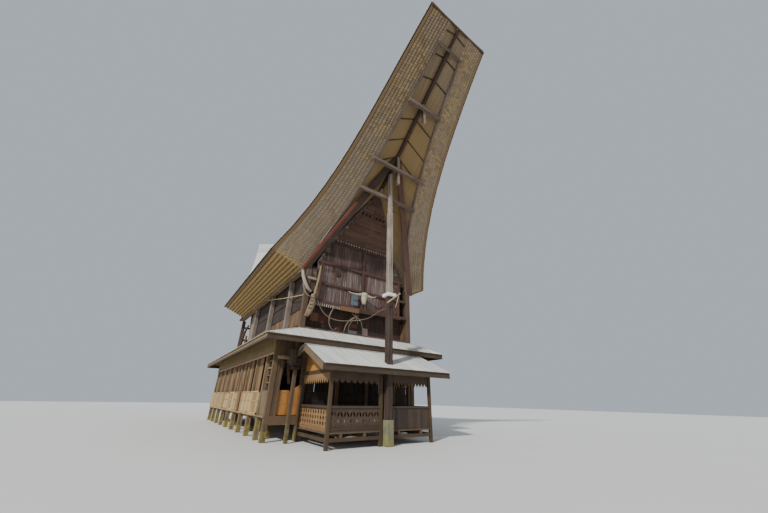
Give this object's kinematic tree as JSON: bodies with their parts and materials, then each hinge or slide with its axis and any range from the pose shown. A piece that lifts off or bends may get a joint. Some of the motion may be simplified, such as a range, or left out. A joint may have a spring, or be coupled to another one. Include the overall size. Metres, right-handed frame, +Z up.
{
  "type": "stilted timber house with saddle roof",
  "caption": "Timber house on posts with a boat-shaped saddle roof on propped prows, a skirt roof over a boarded gallery, a front porch and a half-height gate.",
  "frame": {"origin": "on the ground under the middle of the main roof", "axes": "+Z up, -Y towards the porch and the front prow, +X to the right seen from the front"},
  "size_m": [7.56, 23.08, 14.4094],
  "materials": {
    "bamboo": "weathered, rough",
    "sheet_metal": "galvanised, dull",
    "grey_timber": "weathered, rough",
    "dark_timber": "weathered, rough",
    "red_timber": "worn paint",
    "brown_boards": "weathered, rough",
    "tan_boards": "worn varnish",
    "concrete": "cast, mossy",
    "rope": "twisted fibre, weathered"
  },
  "bodies": {
    "house": {"roof_bamboo_left": "bamboo", "roof_bamboo_right": "bamboo", "roof_sheets_left": "sheet_metal", "roof_sheets_right": "sheet_metal", "front_prow_frame": "grey_timber", "rear_prow_frame": "grey_timber", "front_gable_wall": "red_timber", "rear_gable_wall": "red_timber", "front_gable_rails": "dark_timber", "rear_gable_rails": "dark_timber", "front_barge_board_left": "red_timber", "front_barge_board_right": "grey_timber", "rear_barge_board_left": "red_timber", "rear_barge_board_right": "grey_timber", "post_row_left": "grey_timber", "post_row_right": "grey_timber", "wall_plate_left": "grey_timber", "wall_plate_right": "grey_timber", "room_floor": "grey_timber", "room_wall_left": "brown_boards", "room_wall_right": "brown_boards", "room_wall_front": "brown_boards", "room_wall_rear": "brown_boards", "front_prop_post": "dark_timber", "rear_prop_post": "dark_timber", "front_prop_collar": "grey_timber", "rear_prop_collar": "grey_timber", "front_prop_upper": "grey_timber", "rear_prop_upper": "grey_timber", "front_prop_plinth": "concrete", "rear_prop_plinth": "concrete", "skirt_roof": "sheet_metal", "skirt_fascia": "grey_timber", "gallery_posts_left": "tan_boards", "gallery_posts_right": "tan_boards", "gallery_waist_left": "tan_boards", "gallery_waist_right": "tan_boards", "gallery_band_left": "tan_boards", "gallery_band_right": "tan_boards", "gallery_wall_rear": "tan_boards", "gallery_wall_front": "tan_boards", "gallery_floor": "tan_boards", "porch_frame": "red_timber", "porch_floor": "tan_boards", "porch_balustrade_front_left": "tan_boards", "porch_balustrade_front_right": "tan_boards", "porch_balustrade_left": "tan_boards", "porch_balustrade_right": "tan_boards", "porch_valance_front_left": "tan_boards", "porch_valance_front_right": "tan_boards", "porch_valance_left": "tan_boards", "porch_valance_right": "tan_boards", "porch_roof": "sheet_metal", "porch_gable_left": "tan_boards", "porch_gable_right": "tan_boards", "porch_fascia": "grey_timber", "front_rope": "rope"},
    "gate_left": {"gate_leaf_left": "tan_boards"},
    "gate_right": {"gate_leaf_right": "tan_boards"}
  },
  "joints": [
    {"name": "gate_left_hinge", "type": "hinge", "parent": "house", "child": "gate_left", "pos_m": [-2.626, -4.776, 1.07], "axis": [0, 0, 1], "range_deg": [0, 90]},
    {"name": "gate_right_hinge", "type": "hinge", "parent": "house", "child": "gate_right", "pos_m": [-1.974, -4.776, 1.07], "axis": [0, 0, 1], "range_deg": [-90, 0]}
  ]
}
